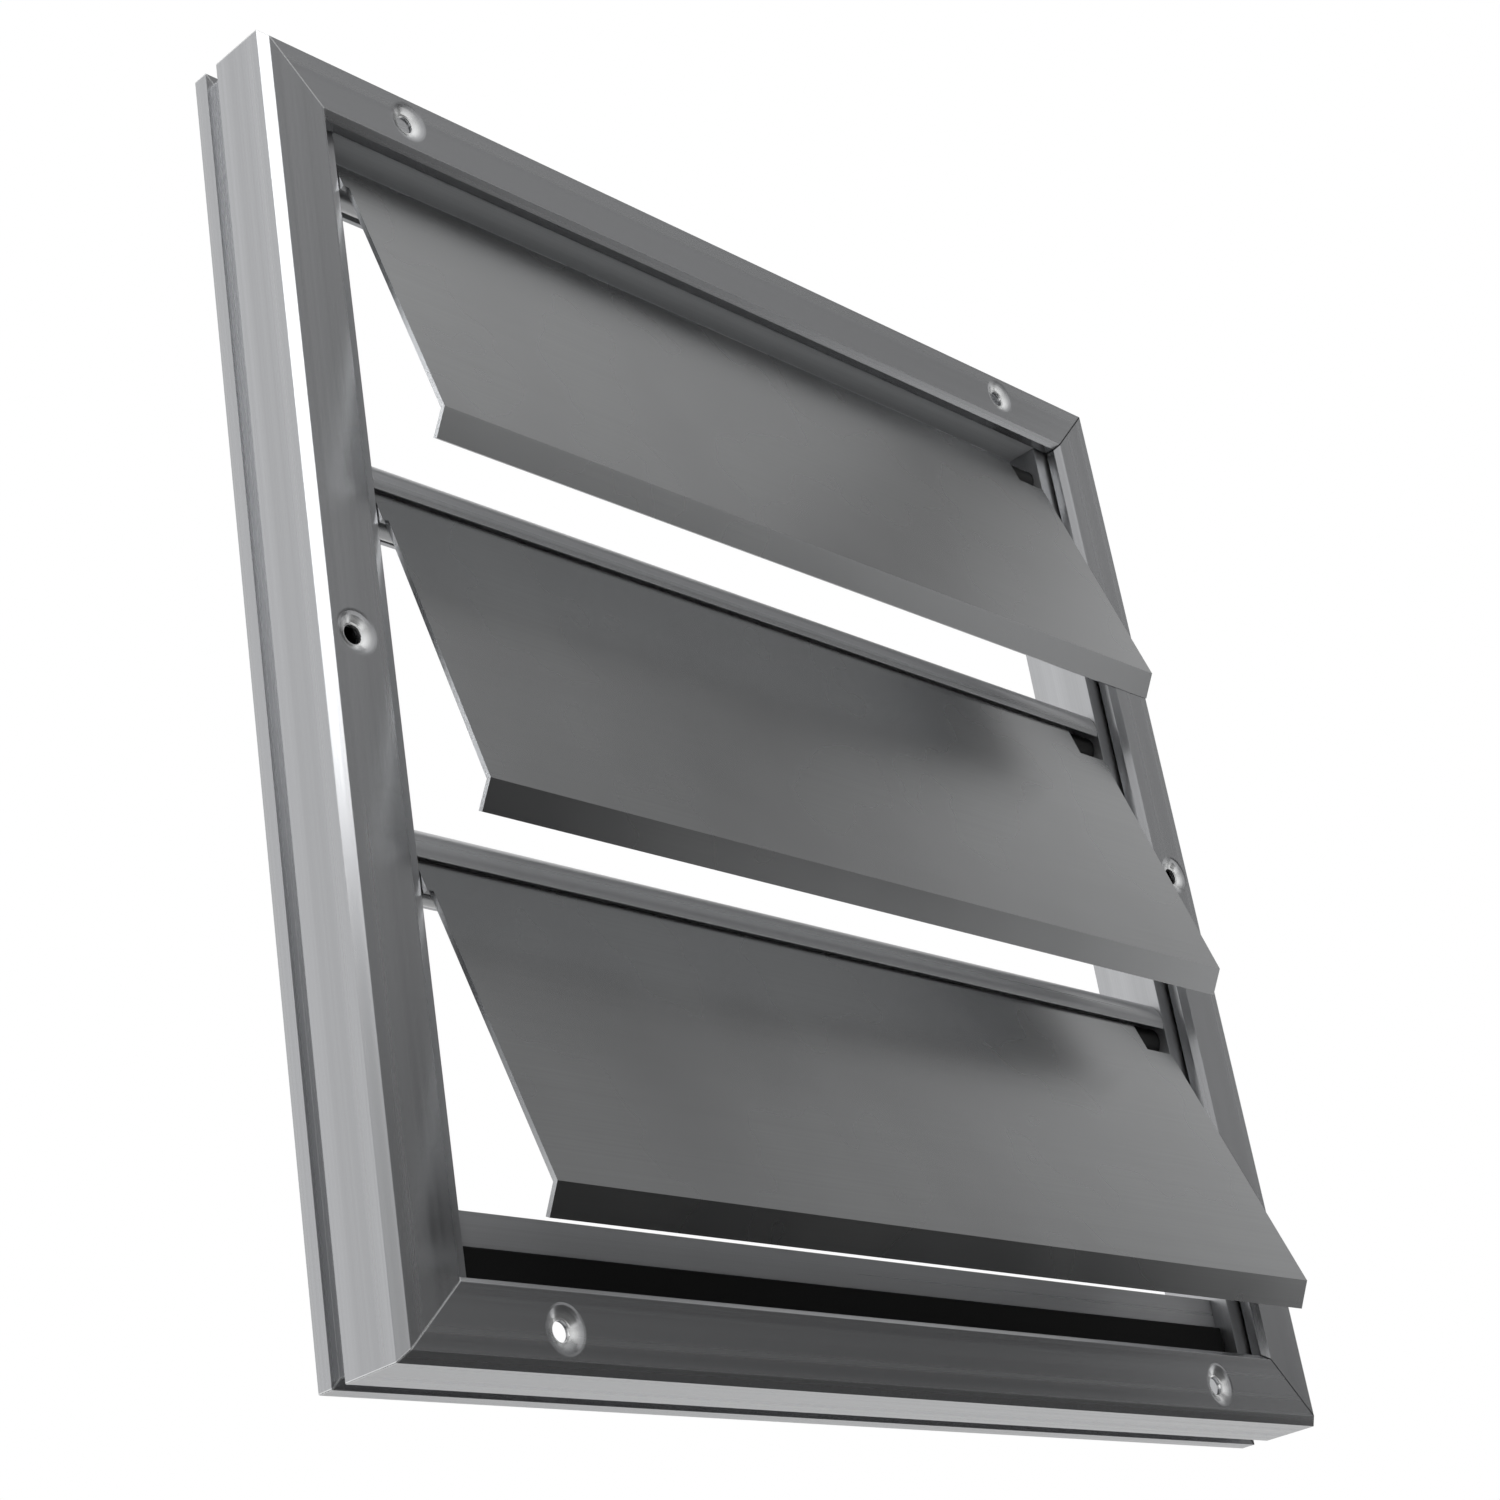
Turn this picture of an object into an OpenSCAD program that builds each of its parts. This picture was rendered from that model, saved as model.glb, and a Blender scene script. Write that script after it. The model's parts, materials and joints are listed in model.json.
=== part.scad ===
/* [Frame] */
// Overall width of the frame
frame_w = 350; // [300:1:500]
// Overall height of the frame
frame_h = 350; // [320:1:500]
// Depth of the frame from the front face to the wall
frame_d = 28.3; // [27.5:0.1:34]
// Width of the front flange, from the outer face to the opening
flange_w = 20; // [19:0.5:22]
// Wall of the frame extrusion
frame_t = 1.3; // [1:0.1:1.6]
// Chamfer on the outer front edge
edge_chamfer = 2.3; // [1:0.1:3]
// Width of the slope on the inner front edge
inner_slope_w = 1.7; // [1:0.1:3]
// Depth of the slope on the inner front edge
inner_slope_d = 2; // [1:0.1:3]
// Depth of the return wall around the opening
return_d = 5; // [4:0.1:5.4]
// Depth at which the side groove starts
groove_y = 19.2; // [17:0.1:20]
// Width of the side groove
groove_w = 4.6; // [3:0.1:5]
// How far the side groove goes in
groove_in = 2.4; // [2:0.1:5]
// Width of the foot that rests on the wall
foot_w = 3.2; // [2:0.1:4.5]
// Thickness of the foot
foot_t = 1.4; // [1:0.1:1.6]
// Distance from the outer face to the rib that holds the corner cleats
cleat_rib = 13.2; // [12.5:0.1:15]
// Gap of each mitre cut, measured square to the cut
mitre_gap = 0.06; // [0.02:0.01:0.2]

/* [Wall screws] */
// Distance of the screw holes from the outer face
hole_edge = 9.6; // [9:0.1:10.5]
// Distance of the top and bottom screw holes from the corner
hole_corner = 48; // [46.5:0.1:80]
// Radius of the screw holes
hole_r = 2.6; // [2:0.1:3]
// Radius of the countersinks at the front face
sink_r = 6.2; // [5.6:0.1:6.6]
// Depth of the countersinks
sink_d = 1.6; // [1.2:0.1:2]
// Wall of the dimple around each countersink
dimple_t = 1.3; // [1:0.1:1.6]

/* [Corner cleats] */
// Length of each leg, from the outer corner
cleat_leg = 37; // [25:1:40]
// Thickness of the cleats
cleat_t = 3; // [2:0.1:3.4]
// Clearance of the cleats in the frame
cleat_gap = 0.05; // [0.02:0.01:0.2]

/* [Side plates] */
// Distance from the outer face to the inner face of the side plates
side_in = 25.8; // [24:0.1:30]
// Depth of the front edge of the side plates
side_y = 6; // [5.6:0.1:6.4]
// Thickness of the side plates
side_t = 1.3; // [1:0.1:1.5]
// Width of the front leg of the side plates
side_front_leg = 11.4; // [8:0.1:11.8]
// Gap between the side plates and the frame
side_gap = 0.1; // [0.05:0.01:0.2]
// Radius of the screw clearance holes in the rear leg
side_hole_r = 3.2; // [2.8:0.1:4]

/* [Blades] */
// Distance from the top of the frame to the upper hinge axis
head_drop = 30; // [28:0.5:34]
// Depth of the hinge axes
pivot_y = 13.4; // [13.2:0.1:13.8]
// Thickness of the blade sheet
blade_t = 1.3; // [1:0.1:1.5]
// Distance from the hinge axis to the front of the blade
blade_front = 6.5; // [6.3:0.1:6.7]
// Height of the top edge of the blade sheet above the hinge axis
blade_top = 0.6; // [-1:0.1:1]
// How much shorter the flat of the blade is than the spacing of the axes
blade_short = 7; // [7:0.1:9]
// Length of the bent lip
lip_len = 8.2; // [5:0.1:8.8]
// Angle of the bent lip
lip_bend = 48; // [42:1:54]
// Gap between the blade and the side plates
blade_gap = 2.2; // [1:0.1:3]
// Gap between the hinge end of the blade and the left bush
bead_gap = 0.3; // [0.2:0.05:0.6]
// Length of the notch at the right end
notch_len = 12.4; // [8:0.1:20]
// Height of the notch, down from the hinge axis
notch_h = 9.3; // [8:0.1:14]
// Radius of the hinge bead
bead_r = 5.2; // [4.8:0.1:5.3]
// Tilt of the upper blade at rest
tilt_upper = 17.1; // [5:0.1:50]
// Tilt of the middle blade at rest
tilt_middle = 16.6; // [5:0.1:50]
// Tilt of the lower blade at rest
tilt_lower = 19.5; // [5:0.1:50]

/* [Hinge rods and bushes] */
// Radius of the hinge rods
rod_r = 2.5; // [2:0.05:2.8]
// Running clearance of the rods in their bushes
rod_gap = 0.05; // [0.02:0.01:0.1]
// Clearance of the rods in the beads
rod_seat = 0.02; // [0.01:0.01:0.05]
// Radius of the bush flange
bush_flange_r = 4.9; // [4.4:0.1:5]
// Thickness of the bush flange
bush_flange_t = 0.6; // [0.4:0.1:1]
// Radius of the bush barrel
bush_r = 4; // [3.6:0.1:4.4]
// Radius of the long nose of the right bushes
bush_nose_r = 4.8; // [4.4:0.1:5]
// How far the bushes stand out behind the side plates
bush_out = 1.6; // [1:0.1:3]
// Radius of the push-on clips
clip_r = 4.6; // [4:0.1:5.5]
// Thickness of the clips
clip_t = 0.8; // [0.5:0.1:1.2]

/* [Rails] */
// Wall of the rails
rail_t = 1.25; // [1:0.05:1.4]
// Gap between the rail ends and the side plates
rail_gap = 0.1; // [0.05:0.05:0.4]
// Outer radius of the round nose of the cross rails
nose_r = 7.4; // [7.2:0.1:7.6]
// Height of the nose centre above the hinge axis
nose_rise = 5.2; // [5:0.1:5.6]
// How far round the front lip of the nose goes below its centre
nose_lip = 18; // [5:1:18]
// How far the rear leg hangs below the hinge axis
leg_drop = 2.4; // [1:0.1:4]
// Height of the step from the opening's edge up to the head rail
head_step = 0.7; // [0.3:0.1:1]
// Depth of the lip under the head rail
head_lip_y = 16.5; // [16:0.1:17]
// Depth of the back of the head rail
head_back = 21.3; // [21:0.1:23]
// Depth of the front face of the bottom rail
sill_y = 11.5; // [11:0.1:12.5]
// Height of the top of the bottom rail above the opening's edge
sill_h = 19; // [15:0.5:22]
// Depth of the top leg of the bottom rail
sill_leg = 9.8; // [6:0.1:12]
// Outer radius of the screw ports
port_r = 2.6; // [2.4:0.1:2.8]
// Height of the screw ports above the hinge axes
port_rise = 3.5; // [3:0.1:7]

/* [Seal and rail screws] */
// Thickness of the sealing strip
seal_t = 2; // [1:0.1:2.4]
// Height of the sealing strip
seal_h = 9.2; // [6:0.1:12]
// Height of the lower edge of the strip above the opening's edge
seal_rise = 1; // [0.5:0.1:2]
// Gap between the ends of the strip and the side plates
seal_gap = 1; // [0.5:0.1:3]
// Radius of the rail screws
screw_r = 1.45; // [1.2:0.05:1.6]
// Clearance of the rail screws in their ports
screw_gap = 0.05; // [0.02:0.01:0.1]
// Radius of the screw heads
screw_head_r = 2.8; // [2.4:0.1:3.2]
// Height of the screw heads
screw_head_h = 1.8; // [1.2:0.1:2.4]
// Length of the rail screws below the head
screw_len = 13; // [8:1:20]

/* [Hidden] */
$fn = 64;
half_w = frame_w / 2;
half_h = frame_h / 2;
opening_top = half_h - flange_w;
opening_bottom = -half_h + flange_w;
// Half the clear width between the side plates
clear_x = half_w - side_in;
// Height between two hinge axes: three blades share the opening
pitch = (frame_h - head_drop - flange_w) / 3;
pivot_z = [half_h - head_drop, half_h - head_drop - pitch, half_h - head_drop - 2 * pitch];
groove_back = groove_y + groove_w;
bump_front = groove_y - frame_t;
bump_back = groove_back + frame_t;
bump_in = groove_in + frame_t;
foot_y = frame_d - foot_t;
side_back_y = bump_back + side_gap;
side_back = side_back_y + side_t;
side_foot = frame_t + side_gap;
blade_len = pitch - blade_short;
blade_half = clear_x - blade_gap;
blade_left = -clear_x + bush_flange_t + bead_gap;
// The hood keeps this far from the axis, so that the blade opens 45 degrees under its lip
nose_clear = blade_front + 0.8;
notch_x = blade_half - notch_len;
bush_end = clear_x + side_t + bush_out;
clip_x = bush_end + bead_gap;
rod_half = clip_x + clip_t + 0.3;
rail_half = clear_x - rail_gap;
head_z = opening_top + head_step;
sill_z = opening_bottom - head_step;
rail_front = return_d + side_gap * 2;
port_hole_r = screw_r + screw_gap;
port_y = pivot_y + nose_r + port_r - 1;
head_port_y = head_back - port_hole_r - 0.6;
head_port_z = head_z - 0.9;
sill_port_y = sill_y + rail_t + port_r - 1;
sill_port_z = sill_z + sill_h / 2;
sill_top = opening_bottom + sill_h;
seal_z = opening_bottom + seal_rise;
// Depth of the middle of the screw holes, behind the countersinks: the origin lies there
seat_y = sink_d + frame_t / 2;
alu = "#9b9c9e";
alu_dark = "#7d7e80";
eps = 0.01;

// Moves a piece, drawn from the front face, to the origin at the screw holes
module at_origin() {
    translate([0, -seat_y, 0]) children();
}

// Runs a profile drawn in depth and height along X, between two stations
module along_x(x0, x1) {
    translate([x0, 0, 0]) rotate([90, 0, 90]) linear_extrude(height = x1 - x0) children();
}

// A round bar or ring along X
module ring_x(x0, x1, r, bore = 0) {
    translate([x0, 0, 0]) rotate([0, 90, 0]) difference() {
        cylinder(h = x1 - x0, r = r);
        if (bore > 0) translate([0, 0, -1]) cylinder(h = x1 - x0 + 2, r = bore);
    }
}

// Section of the frame extrusion: depth across, distance from the outer face up
module frame_section() {
    c = frame_t * tan(22.5);
    polygon([
        [return_d, flange_w], [inner_slope_d, flange_w], [0, flange_w - inner_slope_w],
        [0, edge_chamfer], [edge_chamfer, 0], [groove_y, 0], [groove_y, groove_in],
        [groove_back, groove_in], [groove_back, 0], [frame_d, 0], [frame_d, foot_w],
        [foot_y, foot_w], [foot_y, frame_t], [bump_back, frame_t], [bump_back, bump_in],
        [bump_front, bump_in], [bump_front, frame_t], [edge_chamfer + c, frame_t],
        [frame_t, edge_chamfer + c], [frame_t, cleat_rib], [return_d, cleat_rib],
        [return_d, cleat_rib + frame_t], [frame_t, cleat_rib + frame_t],
        [frame_t, flange_w - inner_slope_w - c], [inner_slope_d + c, flange_w - frame_t],
        [return_d, flange_w - frame_t]
    ]);
}

// Countersunk hole with its dimple, at a place along a bar
module dimple(x) {
    translate([x, frame_t - eps, hole_edge]) rotate([-90, 0, 0])
        cylinder(h = sink_d, r1 = sink_r + 0.2, r2 = hole_r + dimple_t);
}
module countersink(x) {
    w = sink_r - hole_r;
    translate([x, 0, hole_edge]) rotate([-90, 0, 0]) {
        rotate_extrude() polygon([
            [0, -1], [sink_r, -1], [sink_r, 0], [sink_r - w * 0.17, sink_d * 0.08],
            [sink_r - w * 0.4, sink_d * 0.3], [sink_r - w * 0.68, sink_d * 0.65],
            [sink_r - w * 0.87, sink_d * 0.9], [hole_r, sink_d], [0, sink_d]
        ]);
        translate([0, 0, -1]) cylinder(h = frame_d, r = hole_r);
    }
}

// One mitred bar lying along X with its outer face at zero height
module frame_bar(length, holes) {
    reach = flange_w + 1;
    cut = mitre_gap * sqrt(2);
    difference() {
        intersection() {
            union() {
                along_x(-length / 2, length / 2) frame_section();
                for (x = holes) dimple(x);
            }
            translate([0, frame_d + 1, 0]) rotate([90, 0, 0]) linear_extrude(height = frame_d + 2)
                polygon([[-length / 2 + cut, 0], [length / 2 - cut, 0],
                    [length / 2 - cut - reach, reach], [-length / 2 + cut + reach, reach]]);
        }
        for (x = holes) countersink(x);
    }
}
corner_holes = [-half_w + hole_corner, half_w - hole_corner];
module frame_bottom() color(alu) translate([0, 0, -half_h]) frame_bar(frame_w, corner_holes);
module frame_top() color(alu) mirror([0, 0, 1]) translate([0, 0, -half_h]) frame_bar(frame_w, corner_holes);
module frame_left() color(alu) translate([-half_w, 0, 0]) rotate([0, 90, 0]) frame_bar(frame_h, [0]);
module frame_right() color(alu) translate([half_w, 0, 0]) rotate([0, -90, 0]) frame_bar(frame_h, [0]);

// Flat angle piece behind the front flange, held between the outer chamfer and the rib
module cleat(sx, sz) {
    near = edge_chamfer + frame_t * tan(22.5) + cleat_gap;
    far = cleat_rib - cleat_gap;
    color("#8d8f91") mirror([sx < 0 ? 1 : 0, 0, 0]) mirror([0, 0, sz < 0 ? 1 : 0])
        translate([half_w, frame_t + cleat_gap, half_h]) rotate([-90, 0, 0])
            linear_extrude(height = cleat_t) difference() {
                translate([-cleat_leg, near]) square([cleat_leg - near, cleat_leg - near]);
                translate([-cleat_leg - 1, far]) square([cleat_leg + 1 - far, cleat_leg + 1]);
            }
}

// Section of a side plate seen from above: distance from the outer face across, depth up
module side_section() {
    difference() {
        translate([side_foot, side_y]) square([side_in - side_foot, side_back - side_y]);
        translate([side_foot - 1, side_y - 1])
            square([side_in - side_front_leg - side_foot + 1, side_back_y - side_y + 1]);
        translate([side_foot - 1, side_y + side_t])
            square([side_in - side_t - side_foot + 1, side_back_y - side_y - side_t]);
    }
}
module side_plate() {
    difference() {
        translate([-half_w, 0, -half_h + bump_in + side_gap * 3])
            linear_extrude(height = frame_h - 2 * bump_in - side_gap * 6) side_section();
        for (z = pivot_z) translate([0, pivot_y, z])
            ring_x(-clear_x - side_t - 1, -clear_x + 1, bush_r + rod_gap);
        for (p = screw_places()) translate([0, p[0], p[1]])
            ring_x(-clear_x - side_t - 1, -clear_x + 1, screw_r + 0.15);
        translate([-half_w + hole_edge, side_back_y - 1, 0]) rotate([-90, 0, 0])
            cylinder(h = side_t + 2, r = side_hole_r);
    }
}
// Depth and height of the four rail screws on a side
function screw_places() = [
    [head_port_y, head_port_z], [port_y, pivot_z[1] + port_rise],
    [port_y, pivot_z[2] + port_rise], [sill_port_y, sill_port_z]
];
module side_plate_left() color(alu_dark) side_plate();
module side_plate_right() color(alu_dark) mirror([1, 0, 0]) side_plate();

// Ring that takes the end of a rail screw
module port(y, z) {
    translate([y, z]) circle(r = port_r);
}
module port_hole(y, z) {
    translate([y, z]) circle(r = port_hole_r);
}

// Head rail: a shelf behind the frame's edge, and a leg behind the upper bead
module head_rail() {
    leg_y = head_back - rail_t;
    color(alu_dark) along_x(-rail_half, rail_half) difference() {
        polygon([
            [rail_front, head_z], [head_lip_y, head_z], [head_lip_y, head_z - 1.1],
            [leg_y, head_z - 1.1 - (leg_y - head_lip_y)], [leg_y, pivot_z[0] - leg_drop],
            [head_back, pivot_z[0] - leg_drop], [head_back, head_z + rail_t],
            [rail_front, head_z + rail_t]
        ]);
        port_hole(head_port_y, head_port_z);
    }
}

// Cross rail: a round hood over the bead with a short front lip and a long rear leg
module cross_rail(z) {
    color(alu) translate([0, 0, z]) along_x(-rail_half, rail_half) difference() {
        union() {
            difference() {
                translate([pivot_y, nose_rise]) circle(r = nose_r);
                translate([pivot_y - 2 * nose_r, nose_rise - nose_r * sin(nose_lip) - frame_d])
                    square([2 * nose_r, frame_d]);
                translate([pivot_y - eps, nose_rise - frame_d]) square([2 * nose_r, frame_d]);
                intersection() {
                    translate([pivot_y, 0]) circle(r = nose_clear);
                    translate([pivot_y - 2 * nose_r, -nose_r]) square([2 * nose_r, nose_r + nose_rise]);
                }
            }
            translate([pivot_y + nose_r - rail_t, -leg_drop]) square([rail_t, nose_rise + leg_drop]);
            port(port_y, port_rise);
        }
        translate([pivot_y, nose_rise]) circle(r = nose_r - rail_t);
        port_hole(port_y, port_rise);
    }
}
module upper_cross_rail() cross_rail(pivot_z[1]);
module lower_cross_rail() cross_rail(pivot_z[2]);

// Bottom rail: a floor behind the frame's edge, the face with the seal, and a top leg
module bottom_rail() {
    color(alu) along_x(-rail_half, rail_half) difference() {
        union() {
            translate([rail_front, sill_z - rail_t]) square([sill_y - rail_front + rail_t, rail_t]);
            translate([sill_y, sill_z - rail_t]) square([rail_t, sill_top - sill_z + rail_t]);
            translate([sill_y, sill_top - rail_t]) square([sill_leg, rail_t]);
            port(sill_port_y, sill_port_z);
        }
        port_hole(sill_port_y, sill_port_z);
    }
}
module bottom_seal() {
    seal_half = clear_x - seal_gap;
    r = seal_t * 0.4;
    color("#111111") along_x(-seal_half, seal_half) translate([sill_y - seal_t, seal_z]) {
        translate([r, 0]) square([seal_t - r, seal_h]);
        translate([0, r]) square([seal_t, seal_h - 2 * r]);
        translate([r, r]) circle(r = r);
        translate([r, seal_h - r]) circle(r = r);
    }
}

// Section of a blade that hangs straight down from its axis
module blade_section() {
    back = blade_front - blade_t;
    fold = blade_t * tan(lip_bend / 2);
    edge_z = blade_top - blade_t / 2;
    tip = [-blade_front + lip_len * sin(lip_bend), -blade_len - lip_len * cos(lip_bend)];
    difference() {
        union() {
            circle(r = bead_r);
            polygon([[0, 0], [-back - 0.1, -1], [-back - 0.1, -bead_r - 1.4],
                [-bead_r * cos(45), -bead_r * sin(45)]]);
            translate([-blade_front + blade_t / 2, edge_z]) circle(r = blade_t / 2);
            polygon([
                [-blade_front, edge_z], [-blade_front, -blade_len], tip,
                tip + blade_t * [cos(lip_bend), sin(lip_bend)],
                [-back, -blade_len + fold], [-back, edge_z]
            ]);
        }
        circle(r = rod_r + rod_seat);
    }
}
module blade(z, tilt) {
    big = 2 * frame_h;
    color(alu_dark) translate([0, pivot_y, z]) rotate([-tilt, 0, 0]) {
        along_x(blade_left, notch_x) intersection() {
            blade_section();
            translate([-big / 2, -notch_h]) square([big, big]);
        }
        along_x(-clear_x + bead_gap, blade_left + eps) intersection() {
            blade_section();
            translate([-big - blade_front + blade_t, -notch_h]) square([big, big]);
        }
        along_x(-blade_half, blade_half) intersection() {
            blade_section();
            translate([-big / 2, -notch_h - big]) square([big, big]);
        }
    }
}
module blade_upper() blade(pivot_z[0], tilt_upper);
module blade_middle() blade(pivot_z[1], tilt_middle);
module blade_lower() blade(pivot_z[2], tilt_lower);

module hinge_rod(z) {
    color("#b4b6b8") translate([0, pivot_y, z]) ring_x(-rod_half, rod_half, rod_r);
}
module rod_clips(z) {
    color("#6c6e70") for (s = [0, 1]) translate([0, pivot_y, z]) mirror([s, 0, 0])
        ring_x(clip_x, clip_x + clip_t, clip_r, rod_r + rod_seat / 2);
}
module bush(z, side, nose) {
    color("#151515") translate([0, pivot_y, z]) mirror([side < 0 ? 1 : 0, 0, 0]) difference() {
        union() {
            ring_x(clear_x - bush_flange_t, clear_x, bush_flange_r);
            ring_x(clear_x - eps, bush_end, bush_r);
            if (nose) ring_x(notch_x + bead_gap, clear_x - bush_flange_t + eps, bush_nose_r);
        }
        ring_x(0, frame_w, rod_r + rod_gap);
    }
}
module rail_screws(side) {
    color("#8a8c8e") mirror([side < 0 ? 1 : 0, 0, 0]) for (p = screw_places())
        translate([0, p[0], p[1]]) {
            ring_x(clear_x + side_t, clear_x + side_t + screw_head_h, screw_head_r);
            ring_x(clear_x + side_t - screw_len, clear_x + side_t + eps, screw_r);
        }
}

at_origin() frame_top();
at_origin() frame_bottom();
at_origin() frame_left();
at_origin() frame_right();
at_origin() cleat(-1, 1);  // cleat_top_left
at_origin() cleat(1, 1);  // cleat_top_right
at_origin() cleat(-1, -1);  // cleat_bottom_left
at_origin() cleat(1, -1);  // cleat_bottom_right
at_origin() side_plate_left();
at_origin() side_plate_right();
at_origin() head_rail();
at_origin() upper_cross_rail();
at_origin() lower_cross_rail();
at_origin() bottom_rail();
at_origin() blade_upper();
at_origin() blade_middle();
at_origin() blade_lower();
at_origin() hinge_rod(pivot_z[0]);  // hinge_rod_upper
at_origin() hinge_rod(pivot_z[1]);  // hinge_rod_middle
at_origin() hinge_rod(pivot_z[2]);  // hinge_rod_lower
at_origin() rod_clips(pivot_z[0]);  // rod_clips_upper
at_origin() rod_clips(pivot_z[1]);  // rod_clips_middle
at_origin() rod_clips(pivot_z[2]);  // rod_clips_lower
at_origin() bush(pivot_z[0], -1, false);  // left_bush_upper
at_origin() bush(pivot_z[1], -1, false);  // left_bush_middle
at_origin() bush(pivot_z[2], -1, false);  // left_bush_lower
at_origin() bush(pivot_z[0], 1, true);  // right_bush_upper
at_origin() bush(pivot_z[1], 1, true);  // right_bush_middle
at_origin() bush(pivot_z[2], 1, true);  // right_bush_lower
at_origin() bottom_seal();
at_origin() rail_screws(-1);  // rail_screws_left
at_origin() rail_screws(1);  // rail_screws_right
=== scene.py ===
import json
import math

import bpy
from mathutils import Matrix, Vector

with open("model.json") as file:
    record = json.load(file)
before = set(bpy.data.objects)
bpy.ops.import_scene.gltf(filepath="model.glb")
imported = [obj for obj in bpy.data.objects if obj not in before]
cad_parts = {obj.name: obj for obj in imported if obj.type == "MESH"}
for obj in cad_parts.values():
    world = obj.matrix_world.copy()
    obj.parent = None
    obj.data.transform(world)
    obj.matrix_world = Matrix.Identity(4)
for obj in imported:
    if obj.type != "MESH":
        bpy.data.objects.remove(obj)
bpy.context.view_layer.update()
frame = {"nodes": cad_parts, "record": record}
NODES = frame["nodes"]
RECORD = frame["record"]

bl_info = {
    "name": "Pressure relief grille",
    "version": (1, 0, 0),
    "blender": (4, 0, 0),
    "location": "View3D > Sidebar > Grille",
    "description": "Finishes and studio for an aluminium wall grille with free-hanging blades",
    "category": "Object",
}

MM = 0.001
# Millimetres in a metre: a noise's scale is this over the size of its grain in mm
METRE = 1000

# How far each blade stands open at rest, in degrees
TILTS = {"upper": 17.1, "middle": 16.6, "lower": 19.5}
# A hanging blade's top edge stands so far before its hinge axis and above it, in mm
BLADE_FRONT, BLADE_TOP = 6.5, 0.6

# Lines of the extruded aluminium, as the width of a line and how far it runs, in mm
BRUSH_LINE, NARROW_BAND, WIDE_BAND, DIE_LINE = (0.35, 420), (2.5, 900), (9, 1500), (0.6, 500)
# Depth of the brushing lines and round of the bars' edges, in mm
LINE_DEPTH, EDGE_ROUND = 0.03, 0.25
# Slow clouds on the blades, and the mottle of plated steel in mm
CLOUDS_PER_METRE, MOTTLE = 24.0, 2
# Most of a noise lies between these
LOW, HIGH = 0.3, 0.7

# Painted highlights and the dark mitre joint, as (clear at, full at) in mm from the mitre, a
# screw hole's axis or a blade's top edge, and as how squarely a face looks along X where the
# blade is sawn off
MITRE_LINE, COUNTERSINK, TOP_HIGHLIGHT, SAWN_END = (0.45, 0.25), (5.4, 3.2), (0.9, 0.5), (0.9, 0.97)

# The camera that the photograph's straight edges give, in metres, and its lens in pixels
EYE = Vector((-0.57131, -0.45504, -0.32016))
AHEAD = Vector((0.70755, 0.57859, 0.40572))
UP = Vector((-0.19957, -0.38715, 0.90016))
PHOTO_PIXELS, LENS_PIXELS, SENSOR_MM = 1500, 2883.06, 36.0
LENS_SHIFT = (-0.0227, 0.0113)

# The floor's half width, and where the camera sees it fade into the backdrop, in metres
FLOOR_HALF, FLOOR_FADE = 30.0, (0.9, 3.0)

# The strip light, in metres
STRIP_SIZE = (0.12, 0.65)
STRIP_PLACE = Vector((-0.64, -0.42, 0.56))
STRIP_AIM = Vector((-0.17, 0, 0.56))

# Each card's spans in metres, its brightness at the rim and in the middle, and its fades as
# (direction, clear at, full at), in metres along the direction
FLAG_SPANS, FLAG_LIGHT = ((-0.6, 1.6), (-1.35, 0.09)), (1.05, 0.012)
FLAG_FADES = [((1, 0.7, 0), 0.57, 0.34), ((0, 1, 0), -1.2, -0.8)]
FILL_SPANS, FILL_LIGHT = ((0.16, 0.75), (-0.3, -0.17)), (0.9, 0.38)
FILL_FADES = [((1, 0, 0), 0.6, 0.36)]
FILL_ABOVE_FLAG = 0.1
SIDE_SPANS, SIDE_LIGHT = ((-0.34, 0.4), (-0.12, 0.65)), (0.22, 0.76)
SIDE_FADES = [((0, 1, 0), -0.34, -0.1), ((0, 0, 1), 0.65, 0.4), ((0, 0, 1), -0.12, 0.06)]

# The surrounding light, as (place, brightness) from straight below, 0, to straight above, 1
RIGHT_SKY = [(0.0, 0.4), (0.25, 0.4), (0.35, 0.35), (0.425, 0.25), (0.5, 0.08), (0.6, 0.07),
             (0.65, 0.17), (0.71, 0.36), (0.8, 0.36), (0.86, 0.42), (0.91, 0.65), (1.0, 0.8)]
FRONT_SKY = [(0.0, 0.4), (0.5, 0.5), (0.65, 0.7), (1.0, 0.9)]
# Where a direction's X turns the front's light into the right's, and its Y into the backdrop
RIGHT_TURN, BACK_TURN = (0.15, 0.5), (-0.2, 0.2)


def linear(hex_colour):
    """sRGB hex to linear RGBA: c / 12.92 below 0.04045, else ((c + 0.055) / 1.055) ^ 2.4."""
    parts = [int(hex_colour.lstrip("#")[i:i + 2], 16) / 255 for i in (0, 2, 4)]
    return tuple(c / 12.92 if c <= 0.04045 else ((c + 0.055) / 1.055) ** 2.4
                 for c in parts) + (1.0,)


def node(tree, kind, inputs=(), output=0, stops=(), **settings):
    """Adds a shader node and gives one of its outputs. The settings are its own properties. Each
    input is (socket, value): another node's output is linked to the socket, and anything else is
    set on it. The stops are a colour ramp's, as (place, grey)."""
    made = tree.nodes.new("ShaderNode" + kind)
    for name, value in settings.items():
        setattr(made, name, value)
    for where, value in inputs:
        if isinstance(value, bpy.types.NodeSocket):
            tree.links.new(made.inputs[where], value)
        else:
            made.inputs[where].default_value = value
    if stops:
        band = made.color_ramp
        while len(band.elements) < len(stops):
            band.elements.new(0.5)
        for element, (place, grey) in zip(band.elements, stops):
            element.position = place
            element.color = (grey, grey, grey, 1)
    return made.outputs[output] if made.outputs else None


def new_material(name):
    """A material and its empty node tree."""
    material = bpy.data.materials.new(name)
    material.use_nodes = True
    material.node_tree.nodes.clear()
    return material, material.node_tree


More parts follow.
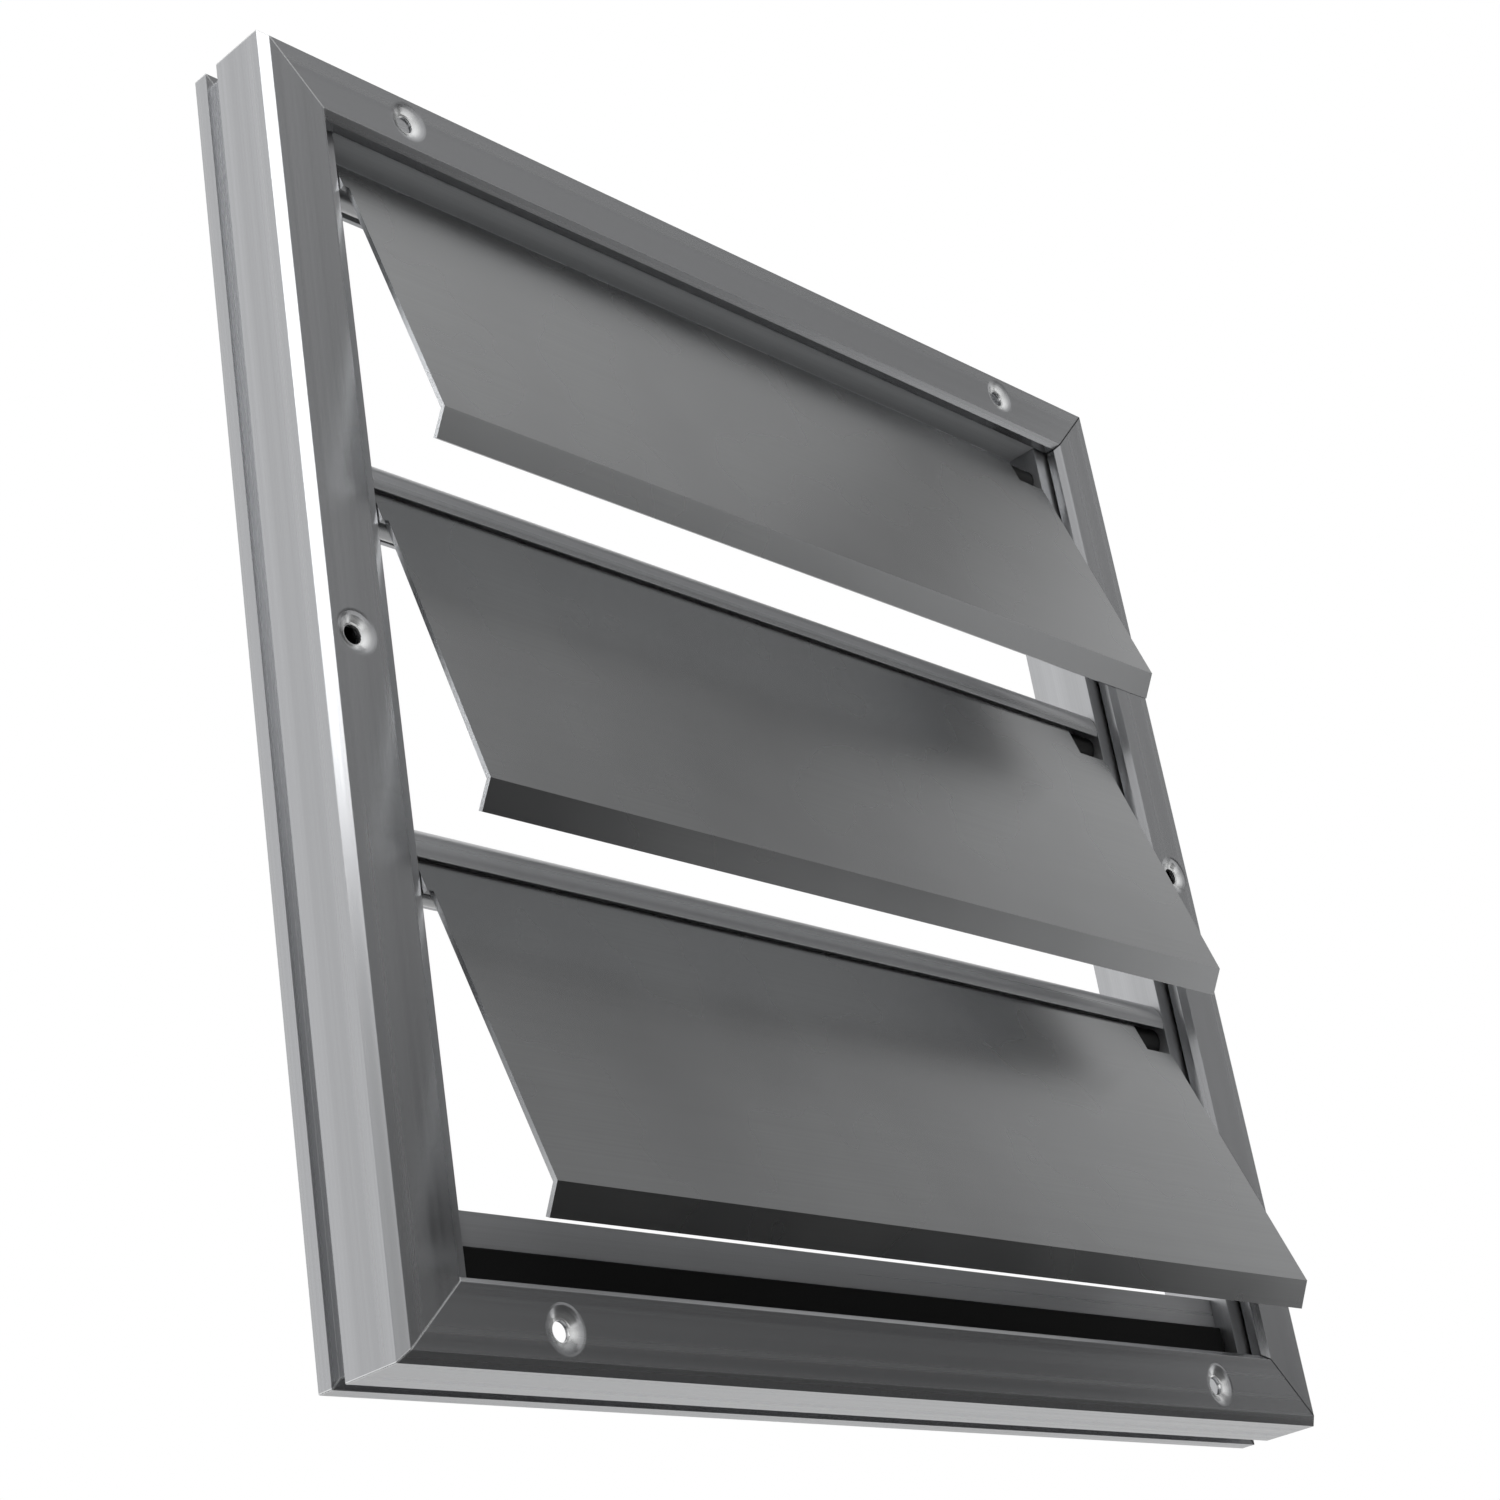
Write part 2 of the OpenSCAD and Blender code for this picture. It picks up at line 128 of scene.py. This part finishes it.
def streaks(tree, coords, along, line, seed=0.0, detail=2.0):
    """Noise drawn out along one axis, by the width of a line and how far it runs, in mm. The seed
    moves it to other lines."""
    width, run = line
    scale = [METRE / width] * 3
    scale["XYZ".index(along)] = METRE / run
    placed = node(tree, "Mapping", [("Vector", coords), ("Scale", scale),
                                    ("Location", (seed, seed * 1.7, seed * 0.6))])
    return node(tree, "TexNoise", [("Vector", placed), ("Scale", 1.0), ("Detail", detail),
                                   ("Roughness", 0.5)])


def toned(tree, colour, patterns, marks=()):
    """A finish's colour: a hex colour times the grey of each pattern, which is a noise and its
    stops as (noise, grey), and then each mark's hex colour where the mark's mask is 1."""
    tone = linear(colour)
    for noise, stops in patterns:
        grey = node(tree, "ValToRGB", [("Fac", noise)], stops=stops)
        tone = node(tree, "Mix", [(0, 1.0), (6, tone), (7, grey)], output=2,
                    data_type="RGBA", blend_type="MULTIPLY")
    for mask, mark_colour in marks:
        tone = node(tree, "Mix", [(0, mask), (6, tone), (7, linear(mark_colour))], output=2,
                    data_type="RGBA")
    return tone


def countersinks(tree, coords):
    """1 within the countersinks, where the painted highlight goes, by the distance from the
    nearest of the six screw holes. Folding the front about both middle lines lays all six on one
    corner hole and one side hole."""
    spacing = {mount["name"]: mount["dims"] for mount in RECORD["mounts"]}
    wall, side = spacing["wall_screws"], spacing["side_wall_screws"]
    holes = ((wall["spacing_x_mm"] / 2 * MM, 0, wall["spacing_y_mm"] / 2 * MM),
             (side["spacing_x_mm"] / 2 * MM, 0, 0))
    flat = node(tree, "VectorMath", [(0, coords), (1, (1, 0, 1))], operation="MULTIPLY")
    folded = node(tree, "VectorMath", [(0, flat)], operation="ABSOLUTE")
    corner, middle = (node(tree, "VectorMath", [(0, folded), (1, hole)], output="Value",
                           operation="DISTANCE") for hole in holes)
    nearest = node(tree, "Math", [(0, corner), (1, middle)], operation="MINIMUM")
    near = node(tree, "MapRange", [
        ("Value", nearest), ("From Min", COUNTERSINK[0] * MM), ("From Max", COUNTERSINK[1] * MM)],
        interpolation_type="SMOOTHSTEP")
    depth = node(tree, "SeparateXYZ", [(0, coords)], output="Y")
    front = node(tree, "Math", [(0, depth), (1, 0.0)], operation="LESS_THAN")
    return node(tree, "Math", [(0, near), (1, front)], operation="MULTIPLY")


def mitres(tree, coords):
    """Two masks, for the left and the right corners: 1 where the distances from the upright and
    the level middle line are equal, which is the mitre."""
    across, _, height = node(tree, "SeparateXYZ", [(0, coords)]).node.outputs
    aside = node(tree, "Math", [(0, across)], operation="ABSOLUTE")
    away = node(tree, "Math", [(0, height)], operation="ABSOLUTE")
    apart = node(tree, "Math", [(0, aside), (1, away)], operation="SUBTRACT")
    apart = node(tree, "Math", [(0, apart)], operation="ABSOLUTE")
    near = node(tree, "MapRange", [
        ("Value", apart), ("From Min", MITRE_LINE[0] * MM), ("From Max", MITRE_LINE[1] * MM)])
    halves = (node(tree, "Math", [(0, across), (1, 0.0)], operation=side)
              for side in ("LESS_THAN", "GREATER_THAN"))
    return [node(tree, "Math", [(0, near), (1, half)], operation="MULTIPLY") for half in halves]


def brushed_aluminium(name, colour, along, roughness, relief=0.2, seed=0.0, mitred=False,
                      metallic=0.9):
    """Extruded aluminium bar, brushed along its length: parallel lines of 0.35 mm (finer ones
    would be lost in the picture), slow bands of 2.5 mm and 9 mm, edges rounded by 0.25 mm, and a
    soft sheen. A mitred bar has a painted highlight along the mitre at the left corners, a dark
    joint hairline at the right ones, and countersinks painted near white as a painted highlight."""
    material, tree = new_material(name)
    coords = node(tree, "TexCoord", output="Object")
    fine = streaks(tree, coords, along, BRUSH_LINE, seed)
    narrow = streaks(tree, coords, along, NARROW_BAND, seed + 3)
    wide = streaks(tree, coords, along, WIDE_BAND, seed + 5, 1.0)
    marks = ()
    if mitred:
        left, right = mitres(tree, coords)
        # Painted highlights: the left mitres light and the countersinks near white; the right
        # mitres are the dark joint line
        marks = ((left, "#e9eaeb"), (right, "#3a3b3d"), (countersinks(tree, coords), "#f4f5f5"))
    tone = toned(tree, colour, [
        (fine, [(LOW, 0.95), (HIGH, 1.03)]), (narrow, [(LOW, 0.97), (HIGH, 1.03)]),
        (wide, [(0.35, 0.95), (0.65, 1.04)])], marks)
    rough = node(tree, "MapRange", [
        ("Value", narrow), ("From Min", LOW), ("From Max", HIGH),
        ("To Min", roughness - 0.04), ("To Max", roughness + 0.05)])
    edge = node(tree, "Bevel", [("Radius", EDGE_ROUND * MM)], samples=4)
    bump = node(tree, "Bump", [("Height", fine), ("Normal", edge), ("Strength", relief),
                               ("Distance", LINE_DEPTH * MM)])
    surface = node(tree, "BsdfPrincipled", [("Base Color", tone), ("Roughness", rough),
                                            ("Normal", bump), ("Metallic", metallic)])
    node(tree, "OutputMaterial", [("Surface", surface)])
    return material


def rolled_aluminium(name, colour, roughness, edge):
    """Extruded blade sheet, mill finish: faint die lines along X, a slow cloudy tone of some
    40 mm, sawn ends painted light, partly as bare sawn metal and partly as a painted highlight,
    and a painted highlight along X through the top edge (y, z)."""
    material, tree = new_material(name)
    coords = node(tree, "TexCoord", output="Object")
    lines = streaks(tree, coords, "X", DIE_LINE, 1.0)
    cloud = node(tree, "TexNoise", [("Vector", coords), ("Scale", CLOUDS_PER_METRE),
                                    ("Detail", 2.0), ("Roughness", 0.5)])
    looks = node(tree, "NewGeometry", output="True Normal")
    squarely = node(tree, "Math", [(0, node(tree, "SeparateXYZ", [(0, looks)]))],
                    operation="ABSOLUTE")
    # The sawn ends are painted lighter: partly the bare sawn metal, partly a painted highlight
    sawn_end_and_highlight = node(tree, "ValToRGB", [("Fac", squarely)],
                stops=[(SAWN_END[0], 0.0), (SAWN_END[1], 1.0)])
    section = node(tree, "VectorMath", [(0, coords), (1, (0, 1, 1))], operation="MULTIPLY")
    away = node(tree, "VectorMath", [(0, section), (1, (0, *edge))], output="Value",
                operation="DISTANCE")
    # A painted highlight along the blade's top edge
    painted_top_highlight = node(tree, "MapRange", [
        ("Value", away), ("From Min", TOP_HIGHLIGHT[0] * MM), ("From Max", TOP_HIGHLIGHT[1] * MM)])
    tone = toned(tree, colour, [
        (lines, [(LOW, 0.97), (HIGH, 1.02)]), (cloud, [(LOW, 0.95), (HIGH, 1.04)])],
        ((sawn_end_and_highlight, "#e6e7e8"), (painted_top_highlight, "#f0f1f1")))
    rough = node(tree, "MapRange", [
        ("Value", cloud), ("From Min", LOW), ("From Max", HIGH),
        ("To Min", roughness - 0.015), ("To Max", roughness + 0.015)])
    surface = node(tree, "BsdfPrincipled", [("Base Color", tone), ("Roughness", rough),
                                            ("Metallic", 1.0)])
    node(tree, "OutputMaterial", [("Surface", surface)])
    return material


def plated_steel(name, colour, roughness):
    """Zinc-plated or bright drawn steel: a faint mottle of 2 mm in its tone and its sheen."""
    material, tree = new_material(name)
    coords = node(tree, "TexCoord", output="Object")
    mottle = node(tree, "TexNoise", [("Vector", coords), ("Scale", METRE / MOTTLE),
                                     ("Detail", 3.0), ("Roughness", 0.6)])
    tone = toned(tree, colour, [(mottle, [(LOW, 0.88), (HIGH, 1.05)])])
    rough = node(tree, "MapRange", [
        ("Value", mottle), ("To Min", roughness - 0.06), ("To Max", roughness + 0.08)])
    surface = node(tree, "BsdfPrincipled", [("Base Color", tone), ("Roughness", rough),
                                            ("Metallic", 1.0)])
    node(tree, "OutputMaterial", [("Surface", surface)])
    return material


def polymer(name, colour, roughness, grain_mm, height_mm):
    """Moulded nylon or extruded rubber: a fine grain that breaks the sheen."""
    material, tree = new_material(name)
    coords = node(tree, "TexCoord", output="Object")
    grain = node(tree, "TexNoise", [("Vector", coords), ("Scale", METRE / grain_mm),
                                    ("Detail", 3.0), ("Roughness", 0.6)])
    tone = toned(tree, colour, [(grain, [(LOW, 0.8), (HIGH, 1.2)])])
    rough = node(tree, "MapRange", [
        ("Value", grain), ("To Min", roughness - 0.08), ("To Max", roughness + 0.08)])
    bump = node(tree, "Bump", [("Height", grain), ("Strength", 0.4),
                               ("Distance", height_mm * MM)])
    surface = node(tree, "BsdfPrincipled", [("Base Color", tone), ("Roughness", rough),
                                            ("Normal", bump), ("Specular IOR Level", 0.3)])
    node(tree, "OutputMaterial", [("Surface", surface)])
    return material


def dress(stems, material):
    """Puts a finish on the CAD nodes whose names start with one of the stems."""
    for stem in stems:
        pieces = [piece for name, piece in NODES.items() if name.startswith(stem)]
        if not pieces:
            raise ValueError("No CAD node's name starts with " + stem)
        for piece in pieces:
            piece.data.materials.clear()
            piece.data.materials.append(material)


class GrilleFinish(bpy.types.PropertyGroup):
    """Colours and gloss of the grille's finishes."""

    frame_colour: bpy.props.StringProperty(
        name="Frame colour", description="Anodised aluminium of the frame bars",
        default="#acadaf")
    blade_colour: bpy.props.StringProperty(
        name="Blade colour", description="Mill finish of the blades", default="#9a9b9c")
    rail_colour: bpy.props.StringProperty(
        name="Rail colour", description="Mill finish of the rails and side plates",
        default="#b9babc")
    head_colour: bpy.props.StringProperty(
        name="Head rail colour", description="Duller mill finish of the head rail",
        default="#b2b4b6")
    frame_roughness: bpy.props.FloatProperty(
        name="Frame roughness", description="Roughness of the brushed frame", default=0.24,
        min=0.1, max=0.8, subtype="FACTOR")
    blade_roughness: bpy.props.FloatProperty(
        name="Blade roughness", description="Roughness of the blades", default=0.27,
        min=0.1, max=0.8, subtype="FACTOR")


class StudioSettings(bpy.types.PropertyGroup):
    """Light and floor."""

    floor_drop: bpy.props.FloatProperty(
        name="Floor drop", description="Height of the floor under the origin", default=-0.62,
        unit="LENGTH")
    key_power: bpy.props.FloatProperty(
        name="Strip light", description="Power of the strip light at the left", default=0.95,
        min=0, unit="POWER")
    card_place: bpy.props.FloatProperty(
        name="Card place", description="Distance of the white card at the right", default=0.6,
        unit="LENGTH")
    flag_height: bpy.props.FloatProperty(
        name="Flag height", description="Height of the black flag in front of the grille",
        default=-0.3, unit="LENGTH")
    world_level: bpy.props.FloatProperty(
        name="World level", description="Strength of the surrounding light", default=1.0,
        min=0)


class FinishFrame(bpy.types.Operator):
    """Brush the four frame bars along their lengths, and plate the corner cleats"""

    bl_idname = "grille.frame"
    bl_label = "Frame"

    def execute(self, context):
        finish = context.scene.grille_finish
        for along, bars in (("Z", ["frame_left", "frame_right"]),
                            ("X", ["frame_top", "frame_bottom"])):
            dress(bars, brushed_aluminium(
                "Brushed anodised aluminium " + along, finish.frame_colour, along,
                finish.frame_roughness, relief=0.25, mitred=True))
        dress(["cleat_"], plated_steel("Zinc plated cleat steel", "#a9abac", 0.38))
        return {"FINISHED"}


class FinishRails(bpy.types.Operator):
    """Give the side plates and the rails their mill finish"""

    bl_idname = "grille.rails"
    bl_label = "Rails and side plates"

    def execute(self, context):
        finish = context.scene.grille_finish
        dress(["side_plate_"], brushed_aluminium(
            "Mill finish side plate aluminium", finish.rail_colour, "Z", 0.33, seed=5.0))
        dress(["upper_cross_rail", "lower_cross_rail", "bottom_rail"], brushed_aluminium(
            "Mill finish rail aluminium", finish.rail_colour, "X", 0.3, seed=8.0,
            metallic=0.6))
        dress(["head_rail"], brushed_aluminium(
            "Dull mill finish head rail aluminium", finish.head_colour, "X", 0.36, seed=11.0,
            metallic=0.35))
        return {"FINISHED"}


class FinishBlades(bpy.types.Operator):
    """Give the three blades their smooth mill finish, with sawn ends painted light (bare metal and
    a painted highlight) and a painted highlight along the top edge
    """

    bl_idname = "grille.blades"
    bl_label = "Blades"

    def execute(self, context):
        finish = context.scene.grille_finish
        for joint in RECORD["behaviour"]["joints"]:
            place = joint["name"].split("_")[0]
            tilt = math.radians(TILTS[place])
            # The tilt turns the top edge about the hinge axis
            edge = (joint["pos_m"][1]
                    + (-BLADE_FRONT * math.cos(tilt) + BLADE_TOP * math.sin(tilt)) * MM,
                    joint["pos_m"][2]
                    + (BLADE_FRONT * math.sin(tilt) + BLADE_TOP * math.cos(tilt)) * MM)
            name = "blade_" + place
            dress([name], rolled_aluminium("Mill finish aluminium " + name,
                                           finish.blade_colour, finish.blade_roughness, edge))
        return {"FINISHED"}


class FinishHinges(bpy.types.Operator):
    """Draw the hinge rods bright, plate the clips and screws, and mould the bushes in nylon"""

    bl_idname = "grille.hinges"
    bl_label = "Hinges and fixings"

    def execute(self, context):
        dress(["hinge_rod_"], plated_steel("Bright drawn rod steel", "#b9bbbd", 0.25))
        dress(["rod_clips_", "rail_screws_"],
              plated_steel("Zinc plated fixing steel", "#a6a8aa", 0.34))
        dress(["right_bush_"], polymer("Moulded black nylon", "#141414", 0.5, 0.4, 0.02))
        # The left bushes are the same nylon as the right ones, painted light grey as painted light
        dress(["left_bush_"], polymer("Nylon painted light grey as lit", "#9b9c9d", 0.5, 0.4, 0.02))
        return {"FINISHED"}


class FinishSeal(bpy.types.Operator):
    """Give the sealing strip on the bottom rail its matt black rubber"""

    bl_idname = "grille.seal"
    bl_label = "Seal"

    def execute(self, context):
        dress(["bottom_seal"], polymer("Extruded black rubber", "#070707", 0.75, 0.6, 0.04))
        return {"FINISHED"}


def level_corners(spans, height):
    """The four corners of a level sheet, from its spans along X and Y."""
    (left, right), (front, back) = spans
    return [(left, front, height), (right, front, height), (right, back, height),
            (left, back, height)]


def sheet(scene, name, corners, material):
    """A flat piece of the studio with four corners."""
    mesh = bpy.data.meshes.new(name)
    mesh.from_pydata(corners, [], [(0, 1, 2, 3)])
    mesh.materials.append(material)
    made = bpy.data.objects.new(name, mesh)
    scene.collection.objects.link(made)
    return made


def lay_floor(scene, height):
    """A matt white floor. The camera sees it run out into the white backdrop, and nearer by it
    shows the object's shadow."""
    material, tree = new_material("Matt white studio floor")
    matt = node(tree, "BsdfPrincipled", [("Base Color", linear("#f2f2f2")), ("Roughness", 0.9)])
    place = node(tree, "TexCoord", output="Object")
    away = node(tree, "VectorMath", [(0, place)], output="Value", operation="LENGTH")
    far = node(tree, "MapRange", [
        ("Value", away), ("From Min", FLOOR_FADE[0]), ("From Max", FLOOR_FADE[1])],
        interpolation_type="SMOOTHSTEP")
    camera = node(tree, "LightPath", output="Is Camera Ray")
    faded = node(tree, "Math", [(0, far), (1, camera)], operation="MULTIPLY")
    bright = node(tree, "Emission", [("Strength", 1.0)])
    blend = node(tree, "MixShader", [(0, faded), (1, matt), (2, bright)])
    node(tree, "OutputMaterial", [("Surface", blend)])
    span = (-FLOOR_HALF, FLOOR_HALF)
    floor = sheet(scene, "studio_floor", level_corners((span, span), height), material)


def hang_card(scene, name, finish, corners, light, fades):
    """A flat card that only metal mirrors, as bright as the light's first value at its rim and as
    its second where every fade is full. Each fade is (direction, clear at, full at)."""
    material, tree = new_material(finish)
    place = node(tree, "TexCoord", output="Object")
    full = 1.0
    for direction, clear_at, full_at in fades:
        along = node(tree, "VectorMath", [(0, place), (1, direction)], output="Value",
                     operation="DOT_PRODUCT")
        fade = node(tree, "MapRange", [
            ("Value", along), ("From Min", clear_at), ("From Max", full_at)],
            interpolation_type="SMOOTHSTEP")
        full = node(tree, "Math", [(0, fade), (1, full)], operation="MULTIPLY")
    shade = node(tree, "MapRange", [("Value", full), ("To Min", light[0]), ("To Max", light[1])])
    surface = node(tree, "BsdfPrincipled", [
        ("Base Color", (0, 0, 0, 1)), ("Emission Color", shade), ("Emission Strength", 1.0)])
    node(tree, "OutputMaterial", [("Surface", surface)])
    made = sheet(scene, name, corners, material)
    made.visible_camera = made.visible_diffuse = made.visible_shadow = False


def surround(scene, strength):
    """The surrounding light, by height: darker at the right, lighter at the front, and a white
    backdrop behind. The camera sees only white, and metal mirrors the white where a ray leaves to
    the back."""
    world = bpy.data.worlds.new("Studio")
    scene.world = world
    world.use_nodes = True
    tree = world.node_tree
    tree.nodes.clear()
    coords = node(tree, "TexCoord", output="Generated")
    across, back, rise = node(tree, "SeparateXYZ", [(0, coords)]).node.outputs
    height = node(tree, "MapRange", [("Value", rise), ("From Min", -1.0), ("From Max", 1.0)])
    right, front = (node(tree, "ValToRGB", [("Fac", height)], stops=sky)
                    for sky in (RIGHT_SKY, FRONT_SKY))
    turn, depth = (
        node(tree, "MapRange", [("Value", part), ("From Min", span[0]), ("From Max", span[1])],
             interpolation_type="SMOOTHSTEP")
        for part, span in ((across, RIGHT_TURN), (back, BACK_TURN)))
    fore = node(tree, "Mix", [(0, turn), (6, front), (7, right)], output=2, data_type="RGBA")
    sky = node(tree, "Mix", [(0, depth), (6, fore), (7, (1, 1, 1, 1))], output=2,
               data_type="RGBA")
    soft = node(tree, "Background", [("Color", sky), ("Strength", strength)])
    white = node(tree, "Background", [("Color", (1, 1, 1, 1)), ("Strength", 1.0)])
    rays = node(tree, "LightPath").node.outputs
    bounced = node(tree, "Math", [(0, rays["Is Glossy Ray"]), (1, rays["Is Transmission Ray"])],
                   operation="MAXIMUM")
    mirrored = node(tree, "Math", [(0, bounced), (1, depth)], operation="MULTIPLY")
    plain = node(tree, "Math", [(0, rays["Is Camera Ray"]), (1, mirrored)], operation="MAXIMUM")
    seen = node(tree, "MixShader", [(0, plain), (1, soft), (2, white)])
    node(tree, "OutputWorld", [("Surface", seen)])


def aim_strip_light(scene, power):
    """A tall strip light at the left, which draws the highlights on the left bar and the noses."""
    light = bpy.data.lights.new("strip_light", "AREA")
    light.shape, light.energy = "RECTANGLE", power
    light.size, light.size_y = STRIP_SIZE
    strip = bpy.data.objects.new("strip_light", light)
    scene.collection.objects.link(strip)
    strip.location = STRIP_PLACE
    strip.rotation_euler = (STRIP_AIM - STRIP_PLACE).to_track_quat("-Z", "Y").to_euler()
    strip.visible_camera = False


def set_camera(scene):
    """The camera at the photograph's place, turned by its direction and its upward edge."""
    ahead = AHEAD.normalized()
    right = ahead.cross(UP).normalized()
    lens = bpy.data.cameras.new("camera")
    lens.sensor_fit, lens.sensor_width = "HORIZONTAL", SENSOR_MM
    lens.lens = LENS_PIXELS / PHOTO_PIXELS * SENSOR_MM
    lens.shift_x, lens.shift_y = LENS_SHIFT
    lens.clip_start = 0.01
    camera = bpy.data.objects.new("camera", lens)
    scene.collection.objects.link(camera)
    turn = Matrix((right, right.cross(ahead), -ahead)).transposed()
    camera.matrix_world = Matrix.Translation(EYE) @ turn.to_4x4()
    scene.camera = camera


class BuildStudio(bpy.types.Operator):
    """Lay the pale floor, set the soft studio light and the camera"""

    bl_idname = "grille.studio"
    bl_label = "Studio"

    def execute(self, context):
        scene, studio = context.scene, context.scene.grille_studio
        scene.view_settings.view_transform = "Standard"
        lay_floor(scene, studio.floor_drop)
        # The lips and the faces that look down mirror the flag, the top bar's slope the fill
        flag = studio.flag_height
        hang_card(scene, "studio_flag", "Black cloth flag",
                  level_corners(FLAG_SPANS, flag), FLAG_LIGHT, FLAG_FADES)
        hang_card(scene, "studio_fill", "Grey paper card",
                  level_corners(FILL_SPANS, flag + FILL_ABOVE_FLAG), FILL_LIGHT, FILL_FADES)
        # The right side mirrors the white card
        side = studio.card_place
        (front, back), (low, high) = SIDE_SPANS
        hang_card(scene, "studio_card", "White paper card",
                  [(side, front, low), (side, back, low), (side, back, high), (side, front, high)],
                  SIDE_LIGHT, SIDE_FADES)
        surround(scene, studio.world_level)
        aim_strip_light(scene, studio.key_power)
        set_camera(scene)
        return {"FINISHED"}


class GrillePanel(bpy.types.Panel):
    """Lists the steps that finish the grille"""

    bl_idname = "VIEW3D_PT_grille"
    bl_label = "Pressure relief grille"
    bl_space_type = "VIEW_3D"
    bl_region_type = "UI"
    bl_category = "Grille"

    def draw(self, context):
        for step in STEPS:
            self.layout.operator(step.bl_idname)
        for group in (context.scene.grille_finish, context.scene.grille_studio):
            for name in group.__annotations__:
                self.layout.prop(group, name)


STEPS = (FinishFrame, FinishRails, FinishBlades, FinishHinges, FinishSeal, BuildStudio)
CLASSES = (GrilleFinish, StudioSettings) + STEPS + (GrillePanel,)


def register():
    for cls in CLASSES:
        bpy.utils.register_class(cls)
    bpy.types.Scene.grille_finish = bpy.props.PointerProperty(type=GrilleFinish)
    bpy.types.Scene.grille_studio = bpy.props.PointerProperty(type=StudioSettings)


def unregister():
    del bpy.types.Scene.grille_studio
    del bpy.types.Scene.grille_finish
    for cls in reversed(CLASSES):
        bpy.utils.unregister_class(cls)


def main():
    register()
    bpy.ops.grille.frame()
    bpy.ops.grille.rails()
    bpy.ops.grille.blades()
    bpy.ops.grille.hinges()
    bpy.ops.grille.seal()
    bpy.ops.grille.studio()


if __name__ == "__main__":
    main()
